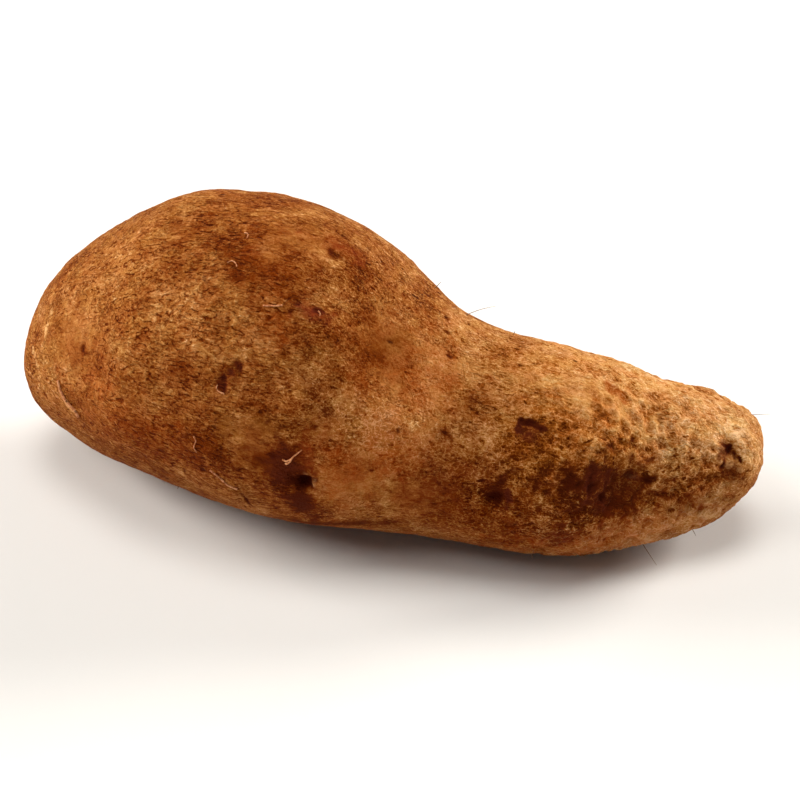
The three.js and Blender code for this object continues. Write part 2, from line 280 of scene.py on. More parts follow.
markKinds = ("scar", "stain", "wine", "rust", "olive", "pale")
marks = {
    "streak top": {"at": (98.7, 57), "size": (5, 3.6), "scar": 0.5, "stain": 0.4, "wine": 0.7, "depth": 0.5},
    "streak middle": {"at": (96.3, 60), "size": (3.6, 4),
        "scar": 0.25, "stain": 0.4, "wine": 0.7, "depth": 0.4},
    "streak foot": {"at": (94.3, 64.5), "size": (3.6, 8),
        "scar": 0.6, "stain": 0.5, "wine": 0.8, "depth": 0.9},
    "round the streak": {"at": (96.5, 61), "size": (14, 8), "turn": 57, "stain": 0.55},
    "deep hole": {"at": (121.7, 98), "size": (6, 5.5), "turn": -12, "scar": 1.0, "stain": 1.2, "depth": 3.0},
    "left of the deep hole": {"at": (118, 98.5), "size": (6, 5), "scar": 0.45, "stain": 1.2, "depth": 0.8},
    "hole shade": {"at": (116.5, 91.5), "size": (13, 20), "stain": 1.25, "wine": 0.6},
    "hole shade low": {"at": (120.6, 107), "size": (7, 17), "scar": 0.4, "stain": 1.3, "wine": 0.5},
    "hole shade left": {"at": (110, 90), "size": (14, 10), "stain": 0.8},
    "spots by the hole": {"at": (112, 87), "size": (5, 3), "scar": 0.6},
    # the pale on the raised rims is a painted highlight on their lit side
    "hole rim": {"at": (125.4, 97), "size": (2.2, 6.5), "turn": 12, "wine": 0.8, "pale": 0.4, "depth": -0.8},
    "hole rim top": {"at": (123, 94.3), "size": (4.4, 1.8),
        "turn": 20, "wine": 0.7, "pale": 0.4, "depth": -0.5},
    "rust by the hole": {"at": (124, 84), "size": (8, 15), "rust": 0.7, "wine": 0.5},
    # painted shade: a dark line along the lower edge, under the root
    "underside shade line": {"at": (128, 126), "size": (46, 5), "stain": 0.9},
    "purple scar": {"at": (190, 38.4), "size": (7.5, 3),
        "turn": -6, "scar": 0.9, "stain": 1.0, "wine": 0.8, "depth": 0.7},
    "purple scar left": {"at": (187.3, 41.5), "size": (2.6, 7),
        "turn": 6, "scar": 0.5, "wine": 1.2, "stain": 0.6},
    "purple scar right": {"at": (194.3, 39.6), "size": (4, 3), "scar": 0.8, "wine": 0.8},
    "below purple scar": {"at": (190, 43.6), "size": (10, 7), "stain": 0.4, "wine": 0.6, "depth": 0.4},
    "purple scar line": {"at": (195, 40), "size": (5, 1.5), "turn": -12, "scar": 0.7},
    "green scar": {"at": (182.8, 83), "size": (6.5, 4.2),
        "turn": 8, "scar": 0.95, "stain": 1.1, "depth": 1.3},
    "over green scar": {"at": (183.8, 73.5), "size": (4, 3), "scar": 0.5, "stain": 0.9},
    "round green scar": {"at": (182.8, 80), "size": (10, 9), "stain": 0.95, "scar": 0.15},
    "beside green scar": {"at": (187, 80), "size": (3.4, 6.5), "scar": 0.35, "wine": 1.0, "stain": 0.8},
    "left of green scar": {"at": (178.5, 80), "size": (3, 4), "scar": 0.35, "stain": 0.8},
    "low speckles": {"at": (205, 106), "size": (12, 18), "wine": 0.5, "scar": 0.35, "stain": 0.25},
    "hollow": {"at": (217, 71), "size": (37, 21), "stain": 1.05, "wine": 0.4, "depth": 0.8},
    "hollow pool": {"at": (222, 73), "size": (13, 12), "stain": 2.0, "depth": 1.2},
    "hollow middle": {"at": (218, 70), "size": (3, 13), "scar": 0.5, "wine": 1.2, "depth": 0.5},
    "hollow stripe": {"at": (213.5, 68), "size": (4, 14), "scar": 0.5, "wine": 1.2, "depth": 0.6},
    "hollow left": {"at": (207, 67), "size": (8, 8), "scar": 0.5, "stain": 0.8, "depth": 0.9},
    "hollow end": {"at": (231, 65.5), "size": (8, 3.6), "scar": 0.7, "stain": 1.0, "depth": 0.5},
    "ridge over the hollow": {"at": (228.5, 51), "size": (12, 6), "pale": 0.2, "rust": 0.3, "depth": -0.5},
    "hollow arc": {"at": (224, 64), "size": (11, 2.6),
        "turn": -6, "scar": 0.35, "wine": 0.9, "pale": 0.3, "depth": 0.4},
    "tip scar": {"at": (253.8, 38), "size": (4.4, 3.4),
        "turn": -25, "scar": 0.9, "stain": 1.0, "wine": 0.8, "depth": 0.7},
    "tip scar left": {"at": (252.3, 42.5), "size": (4.4, 6.5), "wine": 1.3, "stain": 0.7, "depth": 0.4},
    "tip scar middle": {"at": (256, 42), "size": (5, 3),
        "turn": -40, "scar": 0.8, "stain": 0.8, "depth": 0.6},
    "inside the tip scar": {"at": (255.4, 46), "size": (4.5, 5), "stain": 0.6, "pale": 0.3},
    "tip scar line": {"at": (258, 48.5), "size": (7, 1.7),
        "turn": -50, "scar": 1.1, "stain": 0.8, "depth": 0.5},
    "tip scar flakes": {"at": (254.6, 53), "size": (3.4, 4), "pale": 0.5, "depth": -0.7},
    "tip scar flake right": {"at": (258.6, 59), "size": (3.4, 3.4), "pale": 0.6, "depth": -0.5},
    "tip brow flakes": {"at": (258, 36), "size": (9, 9), "pale": 0.22, "depth": -0.4},
    "below tip scar": {"at": (255.5, 63.5), "size": (10, 7), "stain": 1.2, "scar": 0.3, "depth": 0.4},
    "left of tip scar": {"at": (252.8, 52), "size": (1.6, 5), "scar": 0.7},
    "tip smear": {"at": (246, 94), "size": (18, 8), "turn": -20, "stain": 0.7},
    "star": {"at": (36.6, 63.6), "size": (3, 6), "turn": 12, "scar": 0.5, "stain": 0.5, "depth": 0.3},
    "star arm": {"at": (38.2, 65), "size": (6, 2), "turn": 15, "scar": 0.5, "stain": 0.4},
    "head crease": {"at": (100.2, 115), "size": (1.8, 13),
        "turn": 14, "scar": 0.7, "stain": 0.6, "depth": 0.6},
    "red hole": {"at": (120, 29.6), "size": (4.4, 2.4),
        "scar": 0.55, "stain": 0.5, "wine": 1.3, "depth": 0.5},
    "by the red hole": {"at": (118.5, 31), "size": (12, 6), "rust": 0.5, "wine": 0.7},
    "left of the red hole": {"at": (113.9, 30.7), "size": (3, 2.2), "scar": 0.4, "wine": 1.0},
    "top spot": {"at": (118.6, 3.4), "size": (6, 4.4), "scar": 0.5, "stain": 1.0, "depth": 0.7},
    "over the top spot": {"at": (121.5, 357.5), "size": (14, 8), "rust": 0.6, "wine": 0.5, "stain": 0.3},
    "top spot rim": {"at": (119, 8), "size": (9, 2.6), "turn": -10, "pale": 0.5, "depth": -0.4},
    "dash": {"at": (153.5, 350.5), "size": (5.5, 1.3), "scar": 0.45},
    "curl": {"at": (150.3, 59.8), "size": (1.8, 2.6), "scar": 0.8},
    "round the curl": {"at": (150, 59), "size": (7, 7), "pale": 0.25},
    "smudge": {"at": (171, 32), "size": (7, 4), "stain": 0.6},
    "fold spot": {"at": (129, 64), "size": (4.6, 3.6), "scar": 0.35, "stain": 0.7, "depth": 0.3},
    "fold spot low": {"at": (126, 71), "size": (3.5, 3), "scar": 0.4, "stain": 0.6},
    "head pit": {"at": (108, 71), "size": (3, 2.5), "scar": 0.7},
    "red smudge": {"at": (213.5, 6.5), "size": (9, 5), "rust": 0.7, "stain": 0.5, "scar": 0.15},
    "orange patch": {"at": (46.5, 78), "size": (20, 16), "rust": 0.45},
    "edge rust": {"at": (109, 41), "size": (14, 12), "rust": 0.45},
    "hole front rust": {"at": (135, 88), "size": (26, 30), "rust": 0.55},
    "low head rust": {"at": (54, 92), "size": (60, 26), "rust": 0.4},
    "bulge rust": {"at": (149, 70), "size": (26, 18), "rust": 0.7},
    "waist rust": {"at": (156, 30), "size": (26, 44), "rust": 0.45},
    "waist low rust": {"at": (160, 62), "size": (20, 20), "rust": 0.4},
    "tail low rust": {"at": (220, 112), "size": (60, 24), "rust": 0.6},
    "tail crack": {"at": (209.5, 43.5), "size": (6, 1.2), "turn": 35, "scar": 0.9},
    "fold moss": {"at": (126, 42), "size": (12, 11), "olive": 0.6},
    "fold moss low": {"at": (132, 52), "size": (11, 8), "olive": 0.35},
    "bulge top rust": {"at": (144, 54), "size": (18, 14), "rust": 0.45},
    "fold moss upper": {"at": (143, 24), "size": (14, 7), "turn": 50, "olive": 0.6},
    "flank moss": {"at": (110, 74), "size": (16, 9), "olive": 0.6},
    "flank moss left": {"at": (96, 79), "size": (10, 10), "olive": 0.6},
    "neck rust": {"at": (138, 50), "size": (22, 12), "rust": 0.4},
    "crown rust": {"at": (101, 22), "size": (30, 24), "rust": 0.3, "stain": 0.2},
    "neck shade": {"at": (165, 78), "size": (17, 26), "stain": 0.35, "wine": 0.35},
    "neck blush": {"at": (177, 66), "size": (20, 14), "wine": 0.35},
    "tan fibres": {"at": (74, 42), "size": (30, 26), "pale": 0.32},
    "grey patch": {"at": (79, 63), "size": (12, 8), "stain": 0.4},
    "head blotch": {"at": (88, 22), "size": (15, 11), "stain": 0.45},
    "crown blotch": {"at": (92, 28), "size": (7, 5), "stain": 0.6},
    "mid blotch": {"at": (89, 44), "size": (8, 6), "stain": 0.5},
    "left rub": {"at": (17, 50), "size": (2, 9), "pale": 0.6},
    "left rub top": {"at": (18, 42), "size": (2, 5), "pale": 0.7},
    "left edge rub": {"at": (11.5, 64), "size": (1.8, 7), "turn": 30, "pale": 0.8, "depth": -0.3},
    "left edge rub low": {"at": (14.6, 73), "size": (1.8, 7), "turn": 30, "pale": 0.7, "depth": -0.3},
    "pale streak": {"at": (27.4, 87.5), "size": (1.8, 8), "turn": 22, "pale": 0.9, "depth": -0.3},
    "pale streak foot": {"at": (31.2, 95.2), "size": (2, 7), "turn": 45, "pale": 0.9, "depth": -0.3},
    "crown scar": {"at": (5, 238), "size": (12, 14), "scar": 0.6, "stain": 0.9, "depth": 0.6},
    "back hole": {"at": (112, 256), "size": (9, 8), "scar": 1.0, "stain": 1.0, "depth": 1.8},
    "back hole edge": {"at": (114, 262), "size": (18, 16), "stain": 0.7},
    "back streak": {"at": (56, 305), "size": (11, 4), "turn": -30, "scar": 0.7, "stain": 0.8, "depth": 0.6},
    "back scar": {"at": (168, 262), "size": (9, 6), "scar": 0.9, "stain": 0.9, "depth": 1.0},
    "back hollow": {"at": (204, 270), "size": (26, 15), "stain": 0.95, "scar": 0.3, "depth": 0.7},
    "back rust": {"at": (80, 290), "size": (26, 20), "rust": 0.5},
    "back spot": {"at": (92, 318), "size": (5, 4), "scar": 0.7, "stain": 0.8, "depth": 0.5},
    "far tail scar": {"at": (236, 300), "size": (8, 5), "scar": 0.8, "stain": 0.9, "depth": 0.9},
}

flecks = {  # small dark flecks strewn by a seeded rule over the neck and the waist
    "count": 20,
    "seed": 4,
    "along": (142, 220),
    "crowding": 2.5,  # over 1 strews more of them towards the first end
    "around": (-20, 90),
    "length": 2.2,
    "growth": 0.25,
    "width": 1.5,
    "scar": 0.65,
}

strewn = random.Random(flecks["seed"])
for i in range(flecks["count"]):
    neckEnd, tailEnd = flecks["along"]
    along = neckEnd + (tailEnd - neckEnd) * strewn.random() ** flecks["crowding"]
    around = strewn.uniform(*flecks["around"])
    grown = 1 + flecks["growth"] * (i % 3)  # no two neighbours of one size
    size = (grown * flecks["length"], flecks["width"])
    marks["fleck %d" % i] = {"at": (along, around), "size": size, "scar": flecks["scar"]}

# broad soft places, each with where it is, its size, and how much
# and the tip and along the low flanks, and painted light from below along the low edges of the tail and tip
# painted highlights on the bulge and the head's top, painted shade in the folds, under the bulge, the hole
# some are the skin's own tone, such as the tan and the orange patch; many are painted light and shade:
toneAndPaintedLight = {  # over 0 for lighter skin and under 0 for darker
    "head end": ((36, 34), (76, 70), 0.1),
    "head highlight": ((52, 20), (30, 24), 0.12),
    "head low edge": ((22, 95), (28, 42), 0.16),
    "tan patch": ((76, 44), (26, 22), 0.12),
    "crown": ((92, 6), (40, 30), -0.18),
    "crown front": ((99, 24), (34, 28), -0.2),
    "head back edge": ((128, 3), (26, 20), -0.24),
    # painted shade in the fold
    "fold": ((138, 30), (32, 28), -0.3),
    # a painted highlight on the bulge
    "bulge": ((142, 64), (34, 24), 0.45),
    "over the bulge": ((134, 56), (14, 12), 0.06),
    "below the purple scar": ((193, 51), (26, 18), -0.2),
    "head right middle": ((107, 69), (16, 18), -0.12),
    "under the tip scar": ((249, 68), (12, 12), -0.1),
    # painted shade under the bulge
    "under the bulge": ((137, 73), (18, 14), -0.25),
    "tip flank": ((246, 94), (16, 10), 0.14),
    "over the fold": ((125, 37), (14, 12), -0.12),
    "round the red hole": ((111, 31), (14, 12), -0.1),
    "left of the streak": ((84, 62), (26, 22), -0.12),
    "low flank top": ((95, 91), (20, 14), -0.1),
    "before the tip top": ((240, 26), (14, 14), 0.08),
    "head top left": ((46, 8), (40, 24), 0.08),
    "head middle": ((103, 50), (26, 28), 0.12),
    # painted shade along the low flank and under the hole
    "low flank": ((86, 97), (64, 30), -0.24),
    "under the hole": ((119, 112), (30, 26), -0.18),
    "neck low": ((174, 82), (24, 38), -0.12),
    "bulge low": ((151, 70), (18, 18), 0.1),
    "behind the hollow": ((234, 71), (14, 14), 0.14),
    "tail low front": ((228, 102), (50, 18), 0.2),
    "waist top": ((168, 20), (50, 40), 0.05),
    "tail front": ((202, 32), (62, 28), -0.1),
    "left of the tip scar": ((249, 46), (10, 14), 0.12),
    "tail ridge": ((217, 22), (30, 18), -0.08),
    "tail top": ((187, 2), (42, 26), -0.17),
    # painted shade over the tail's flank
    "tail flank": ((205, 78), (84, 46), -0.24),
    "tail low flank": ((192, 107), (30, 24), -0.1),
    "before the tip": ((243, 70), (26, 18), -0.2),
    "under the tip": ((260, 88), (12, 16), -0.12),
    # painted light from below on the low edges of the tip and the tail
    "tip low edge": ((249, 112), (24, 14), 0.32),
    "tail low edge": ((228, 118), (50, 24), 0.3),
    "tip": ((256, 30), (20, 24), 0.2),
    "hole front": ((130, 92), (16, 18), 0.12),
    "low waist": ((170, 102), (36, 16), -0.12),
    "head low middle": ((66, 81), (24, 18), 0.14),
    "orange patch": ((47, 77), (18, 14), 0.14),
    "back of the head": ((60, 280), (50, 44), -0.1),
    "back shoulder": ((96, 320), (40, 30), 0.1),
    "back fold": ((138, 285), (26, 50), -0.16),
    "back of the tail": ((200, 262), (70, 34), -0.14),
}

rubs = {  # where the cork is rubbed smooth, and under 0 where it is rougher
    "fold right": ((140, 27), (30, 30), 0.9),
    "fold lower right": ((146, 42), (14, 12), 0.6),
    "hole front": ((136, 93), (32, 28), 0.9),
    "neck low": ((158, 93), (34, 26), 0.8),
    "waist top": ((160, 24), (30, 36), 0.4),
    "tail back edge": ((194, 18), (46, 34), 0.35),
    "tail top": ((214, 18), (36, 16), 0.5),
    "crown edge": ((107, 4), (32, 16), 0.7),
    "crown front": ((98, 18), (16, 16), 0.4),
    "head top left": ((66, 13), (14, 10), 0.5),
    "head left": ((32, 60), (34, 32), 0.8),
    "under the streak": ((104, 81), (18, 15), 0.7),
    "under the fold": ((127, 71), (13, 13), 0.6),
    "left of the hole": ((108, 90), (18, 14), 0.8),
    "head middle": ((79, 46), (22, 18), -0.3),
    "crown left": ((92, 23), (14, 12), -0.3),
    "before the tip": ((240, 56), (26, 34), -0.4),
    "hollow": ((214, 76), (34, 24), -0.5),
    "round the green scar": ((180, 80), (16, 16), -0.3),
    "tail low": ((203, 100), (30, 20), -0.5),
    "back shoulder": ((90, 300), (40, 30), 0.6),
    "back of the neck": ((150, 270), (34, 30), 0.6),
    "back of the tail": ((212, 285), (40, 26), -0.4),
}


markEdges = {
    "ragged": ((4.5, 11.3, 0.4), (2.4, 5.1, 0.5)),  # pitch, shift and reach of the noise that tears the edges
    "raggedMiddle": 0.4,
    "crisp": (1.5, 0.1),  # a scar fades between these distances, where 1 is the oval's edge
    "soft": (1.8, 0.1),  # and every other kind of mark between these
    "shade": (1.35, 0),
    "swell": (1.3, 0),
    "leastReach": 12,  # mm that a mark reaches through the root
}


def ovalDistance(points, mark):
    # 0 at the mark's middle and 1 on its edge
    point, normal, forward, across = skinPlace(*mark["at"])
    length, width = mark["size"]
    turn = Matrix.Rotation(math.radians(mark.get("turn", 0)), 3, normal)
    offset = points - np.array(point)
    lengthwise = offset @ np.array(turn @ forward) / (length / 2)
    crosswise = offset @ np.array(turn @ across) / (width / 2)
    depthwise = offset @ np.array(normal) / max(length, width, markEdges["leastReach"])
    return np.sqrt(lengthwise**2 + crosswise**2 + depthwise**2)


def markFields(points, marks):
    ragged = sum(reach * noiseOf(points, pitch, shift) for pitch, shift, reach in markEdges["ragged"])
    fields = {kind: np.zeros(len(points)) for kind in markKinds}
    fields["depth"] = np.zeros(len(points))
    for mark in marks.values():
        away = ovalDistance(points, mark) * (1 + ragged) + markEdges["raggedMiddle"] * ragged
        crisp, soft = smoothStep(*markEdges["crisp"], away), smoothStep(*markEdges["soft"], away)
        for kind in markKinds:
            if kind in mark:
                shown = mark[kind] * (crisp if kind == "scar" else soft)
                fields[kind] = np.maximum(fields[kind], shown)
        fields["depth"] += mark.get("depth", 0) * crisp
    return fields


def softField(points, places, fade="shade"):
    total = np.zeros(len(points))
    for at, size, amount in places.values():
        away = ovalDistance(points, {"at": at, "size": size})
        total += amount * smoothStep(*markEdges[fade], away)
    return total


def splitFaces(mesh, chosen, bulging):
    # halves the edges whose ends are both chosen
    work = bmesh.new()
    work.from_mesh(mesh)
    work.verts.ensure_lookup_table()
    edges = [edge for edge in work.edges if all(chosen[corner.index] for corner in edge.verts)]
    bmesh.ops.subdivide_edges(work, edges=edges, cuts=1, use_grid_fill=True, smooth=bulging)
    bmesh.ops.triangulate(work, faces=[face for face in work.faces if len(face.verts) > 4])
    work.to_mesh(mesh)
    work.free()


def refineSkin(mesh, fineness):
    # the tail is rough all over, and the scars want finer faces than the skin round them
    points = meshPoints(mesh)
    chosen = points[:, 0] - headEnd > fineness["fineFrom"]
    for mark in marks.values():
        if mark.get("scar", 0) >= fineness["fineScars"]:
            chosen |= ovalDistance(points, mark) < fineness["fineRound"]
    splitFaces(mesh, chosen, fineness["bulging"])
    mesh.polygons.foreach_set("use_smooth", [True] * len(mesh.polygons))


refineSkin(skin.data, fineness)
print("fine skin:", sum(len(face.vertices) - 2 for face in skin.data.polygons), "triangles")

# relief: heights in millimetres along the skin's normals

relief = {
    "waves": {"pitch": 9, "height": 0.25},
    "flakes": {"pitch": 2.8, "stretch": 1.8, "height": 0.2, "lessOnTail": 0.6},
    "wrinkles": {"pitch": 3.6, "height": 0.14, "sharpness": 4},
    "crumple": {"pitch": 4.6, "height": 1.9, "level": 0.6},
    "warts": {"pitch": 2.2, "height": 0.14},
    "startsAbove": (1.0, 6.0),  # mm over the floor, so that the resting flats stay flat
}

net = {  # the crumpled tail: ridges between hollows, both on a bent net
    "bend": {"pitch": 3.5, "reach": 1.1, "shifts": (1.7, 8.4, 15.2)},
    "ridgeWidth": 1.8,
    "ridgeRound": 0.004,
    "ridges": (-0.1, 1),
    "hollowPitch": 0.9,  # times the crumple's
    "hollows": (0.05, 0.75),
}

zones = {  # between these mm along the root, with an edge that noise of that pitch and shift moves by waver
    "tail": {"edges": (168, 216), "waver": 9, "pitch": 16, "shift": 2.2},
    "pallor": {"edges": (128, 205), "waver": 12, "pitch": 20, "shift": 4.4},
    "cracked": {"edges": (128, 98), "waver": 14, "pitch": 18, "shift": 6.6},
}

heights = {  # mm over the floor
    "pallor": (34, 66),
    # low: painted shade, the skin darker and redder from this height down to the floor
    "low": (46, 4),
}

lowPallor = {"share": 0.3, "edges": (185, 215)}  # low skin is pale too past these mm along, but less so

calmPlaces = {  # where the tail is less crumpled
    "level": 0.58,
    "deepStain": 1.0,  # stains stronger than this
    "top": {"share": 0.45, "edges": (0.8, 1.0)},  # where the skin faces up
    "tip": {"share": 0.5, "edges": (250, 262)},  # mm along
}


def crumpleField(points, pitch):
    # 1 on the ridges of an uneven net and 0 in its hollows
    bend = net["bend"]
    bending = np.column_stack([noiseOf(points, bend["pitch"], shift) for shift in bend["shifts"]])
    bent = points + bend["reach"] * bending
    ridges = 1 - net["ridgeWidth"] * np.sqrt(noiseOf(bent, pitch, 4.9) ** 2 + net["ridgeRound"])
    hollows = np.array([noise.voronoi(p)[0][0] for p in bent / (net["hollowPitch"] * pitch)])
    netted = 0.5 * smoothStep(*net["ridges"], ridges) + 0.5 * smoothStep(*net["hollows"], hollows)
    return np.clip(netted, 0, 1)


swells = {  # mm that the skin rises there, under 0 for folds and hollows
    "bulge after the fold": ((146, 58), (30, 34), 1.5),
    "fold by the hole": ((125, 82), (12, 26), -1.6),
    "fold": ((128, 58), (13, 26), -1.1),
    "fold over the top": ((129, 30), (14, 26), -0.8),
    "round green scar": ((182, 83), (18, 16), -1.0),
    "brow over the hollow": ((217, 48), (40, 12), 0.9),
    "below the hollow": ((214, 96), (34, 11), 0.7),
    "tip brow": ((244, 70), (10, 14), 0.7),
}


def raiseRelief(points, normals, depth, tail, crumple):
    waves, flakes, wrinkles, warts = (relief[kind] for kind in ("waves", "flakes", "wrinkles", "warts"))
    height = softField(points, swells, "swell")
    height += waves["height"] * noiseOf(points, waves["pitch"], 3.3)
    flaking = flakes["height"] * noiseOf(points, flakes["pitch"], 7.7, flakes["stretch"], 2)
    height += flaking * (1 - flakes["lessOnTail"] * tail)
    creases = (1 - abs(noiseOf(points, wrinkles["pitch"], 21.3))) ** wrinkles["sharpness"]
    height -= wrinkles["height"] * creases
    height += relief["crumple"]["height"] * (crumple - relief["crumple"]["level"]) * tail
    height += warts["height"] * noiseOf(points, warts["pitch"], 31.9) * tail
    height -= depth
    height *= smoothStep(*relief["startsAbove"], points[:, 2])
    return points + normals * height[:, None]


def zoneField(points, along, zone):
    return smoothStep(*zone["edges"], along + zone["waver"] * noiseOf(points, zone["pitch"], zone["shift"]))


def calmCrumple(crumple, stain, normals, along):
    # the deepest stain is smooth, the top and the tip smoother than the rest
    top, tip = calmPlaces["top"], calmPlaces["tip"]
    calm = np.clip(stain - calmPlaces["deepStain"], 0, 1)
    calm = np.maximum(calm, top["share"] * smoothStep(*top["edges"], normals[:, 2]))
    calm = np.maximum(calm, tip["share"] * smoothStep(*tip["edges"], along))
    return crumple + (calmPlaces["level"] - crumple) * calm


def addField(mesh, name, values):
    field = mesh.attributes.new(name, "FLOAT", "POINT")
    field.data.foreach_set("value", values.astype(float))


def dressSkin(skin):
    mesh = skin.data
    points, normals = meshPoints(mesh), meshNormals(mesh)
    along = points[:, 0] - headEnd
    fields = markFields(points, marks)
    depth = fields.pop("depth")
    crumple = crumpleField(points, relief["crumple"]["pitch"])
    crumple = calmCrumple(crumple, fields["stain"], normals, along)
    tail = zoneField(points, along, zones["tail"])
    high = smoothStep(*heights["pallor"], points[:, 2])
    lowShare = lowPallor["share"] * (1 - high) * smoothStep(*lowPallor["edges"], along)
    fields["tail"] = tail
    fields["crumple"] = crumple
    fields["pallor"] = zoneField(points, along, zones["pallor"]) * (high + lowShare)
    # tone shifts, partly the skin's own tone and partly painted light and shade
    fields["shade"] = softField(points, toneAndPaintedLight)
    fields["rub"] = np.minimum(softField(points, rubs), 1)
    fields["cracked"] = zoneField(points, along, zones["cracked"])
    # painted shade towards the floor
    fields["low"] = smoothStep(*heights["low"], points[:, 2])
    for name, values in fields.items():
        addField(mesh, name, values)
    grain = mesh.attributes.new("grain", "FLOAT_VECTOR", "POINT")
    grain.data.foreach_set("vector", points.ravel())
    raised = raiseRelief(points, normals, depth, tail, crumple)
    raised[:, 2] = np.maximum(raised[:, 2], 0)
    setMeshPoints(mesh, raised)


dressSkin(skin)
skinTree = bvhOf(skin.data)
print("relief and marks are on the skin")

# materials


def linear(shade):
    # one channel from 0 to 255 as on a screen, to linear light
    share = shade / 255
    return ((share + 0.055) / 1.055) ** 2.4 if shade > 10 else share / 12.92


def colour(red, green, blue):
    return (linear(red), linear(green), linear(blue), 1.0)


class Nodes:
    # short calls for building a material: every call makes a node and returns its main output
    def __init__(self, name):
        self.material = bpy.data.materials.new(name)
        self.material.use_nodes = True
        self.tree = self.material.node_tree
        self.shader = self.tree.nodes["Principled BSDF"]

    def node(self, kind, settings, inputs):
        made = self.tree.nodes.new("ShaderNode" + kind)
        for name, value in settings.items():
            setattr(made, name, value)
        for name, value in inputs.items():
            self.plug(made.inputs[name], value)
        return made

    def plug(self, socket, value):
        if isinstance(value, bpy.types.NodeSocket):
            self.tree.links.new(value, socket)
        else:
            socket.default_value = value

    def field(self, name):
        return self.node("Attribute", {"attribute_name": name}, {}).outputs["Fac"]

    def place(self, stretch=1):
        # where a point lay on the skin before its relief, in mm; under 1 draws a pattern out along the root
        vector = self.node("Attribute", {"attribute_name": "grain"}, {}).outputs["Vector"]
        return self.node("Mapping", {}, {"Vector": vector, "Scale": (stretch, 1, 1)}).outputs["Vector"]

    def warped(self, place, pitch, amount):
        inputs = {"Vector": place, "Scale": 1 / pitch, "Detail": 2.0}
        shift = self.node("TexNoise", {}, inputs).outputs["Color"]
        middle = {0: shift, 1: (0.5, 0.5, 0.5)}
        centred = self.node("VectorMath", {"operation": "SUBTRACT"}, middle).outputs[0]
        bent = {0: centred, 1: (amount, amount, amount), 2: place}
        return self.node("VectorMath", {"operation": "MULTIPLY_ADD"}, bent).outputs[0]

    def noise(self, place, pitch, detail=2.0, rough=0.5, warp=0.0):
        inputs = {"Vector": place, "Scale": 1 / pitch, "Detail": detail}
        inputs.update({"Roughness": rough, "Distortion": warp})
        return self.node("TexNoise", {}, inputs).outputs["Fac"]

    def ridged(self, place, pitch, detail, rough):
        inputs = {"Vector": place, "Scale": 1 / pitch, "Detail": detail, "Roughness": rough}
        return self.node("TexNoise", {"noise_type": "RIDGED_MULTIFRACTAL"}, inputs).outputs["Fac"]

    def between(self, value, low, high, bottom=0.0, top=1.0):
        inputs = {0: value, 1: low, 2: high, 3: bottom, 4: top}
        made = self.node("MapRange", {"interpolation_type": "SMOOTHSTEP"}, inputs)
        return made.outputs["Result"]

    def maths(self, operation, first, second=0.0):
        return self.node("Math", {"operation": operation}, {0: first, 1: second}).outputs["Value"]

    def times(self, first, second):
        return self.maths("MULTIPLY", first, second)

    def plus(self, first, second):
        return self.maths("ADD", first, second)

    def minus(self, first, second):
        return self.maths("SUBTRACT", first, second)

    def total(self, start, parts):
        for part in parts:
            start = self.plus(start, part)
        return start

    def ridge(self, value, width):
        # 1 along the thin lines where the noise crosses its middle
        return self.between(self.maths("ABSOLUTE", self.minus(value, 0.5)), width, 0.0)

    def ramp(self, value, stops):
        made = self.node("ValToRGB", {}, {"Fac": value})
        steps = made.color_ramp.elements
        while len(steps) < len(stops):
            steps.new(0.5)
        for step, (place, tint) in zip(steps, stops):
            step.position = place
            step.color = tint
        return made.outputs["Color"]

    def mix(self, share, under, over, kind="MIX"):
        made = self.node("Mix", {"data_type": "RGBA", "blend_type": kind, "clamp_factor": True}, {})
        self.plug(made.inputs["Factor"], share)
        self.plug(made.inputs[6], under)
        self.plug(made.inputs[7], over)
        return made.outputs[2]


skinColours = {
    "head": [(0.0, colour(68, 18, 0)), (0.27, colour(115, 48, 5)), (0.5, colour(154, 89, 37)),
             (0.75, colour(194, 131, 71)), (1.0, colour(234, 184, 132))],
    "tail": [(0.0, colour(92, 38, 2)), (0.27, colour(160, 87, 26)), (0.5, colour(205, 139, 76)),
             (0.75, colour(225, 172, 113)), (1.0, colour(241, 205, 159))],
    # the colour of the painted shade on the lower skin
    "low": colour(104, 42, 8),
    "rust": colour(172, 68, 8),
    "olive": colour(120, 72, 20),
    "wine": colour(112, 46, 36),
    "stain": colour(84, 32, 11),
    "scar": colour(50, 9, 3),
    "pale": colour(238, 176, 112),
}

skinGrain = {  # tone is how far a grain moves the tone; a leaning grain is bent and drawn out along the root
    "broad": {"pitch": 26, "rough": 0.5, "tone": 0.5},
    "patch": {"pitch": 9, "rough": 0.55, "warp": 0.4, "tone": 0.42},
    "mottle": {"pitch": 3.2, "rough": 0.6, "warp": 0.5, "tone": 0.4, "leaning": True},
    "curls": {"pitch": 1.4, "rough": 0.6, "tone": 0.34, "leaning": True, "ridged": True},
    "fuzz": {"pitch": 1.0, "rough": 0.6, "warp": 0.7, "tone": 0.6, "leaning": True},
    "speck": {"pitch": 0.55, "rough": 0.6, "tone": 0.5},
}
coarseGrain, fineGrain = ("broad", "patch", "mottle"), ("curls", "fuzz", "speck")
leaning = {"stretch": 0.7, "bend": (2.4, 0.8)}  # bend is the pitch and the reach of the bending, in mm

skinLines = {  # thin lines
    "cracks": {"stretch": 0.34, "bend": (1.7, 0.9), "pitch": 2.3, "detail": 1.5, "thin": 0.06},
    "strands": {"stretch": 0.34, "bend": (2.2, 1.4), "pitch": 1.9, "detail": 2, "thin": 0.045},
    "dashes": {"stretch": 0.34, "bend": (1.6, 0.8), "pitch": 1.3, "detail": 2, "thin": 0.06},
    "felt": {"stretch": 0.8, "bend": (1.6, 1.1), "pitch": 1.5, "detail": 1.5, "thin": 0.06},
}

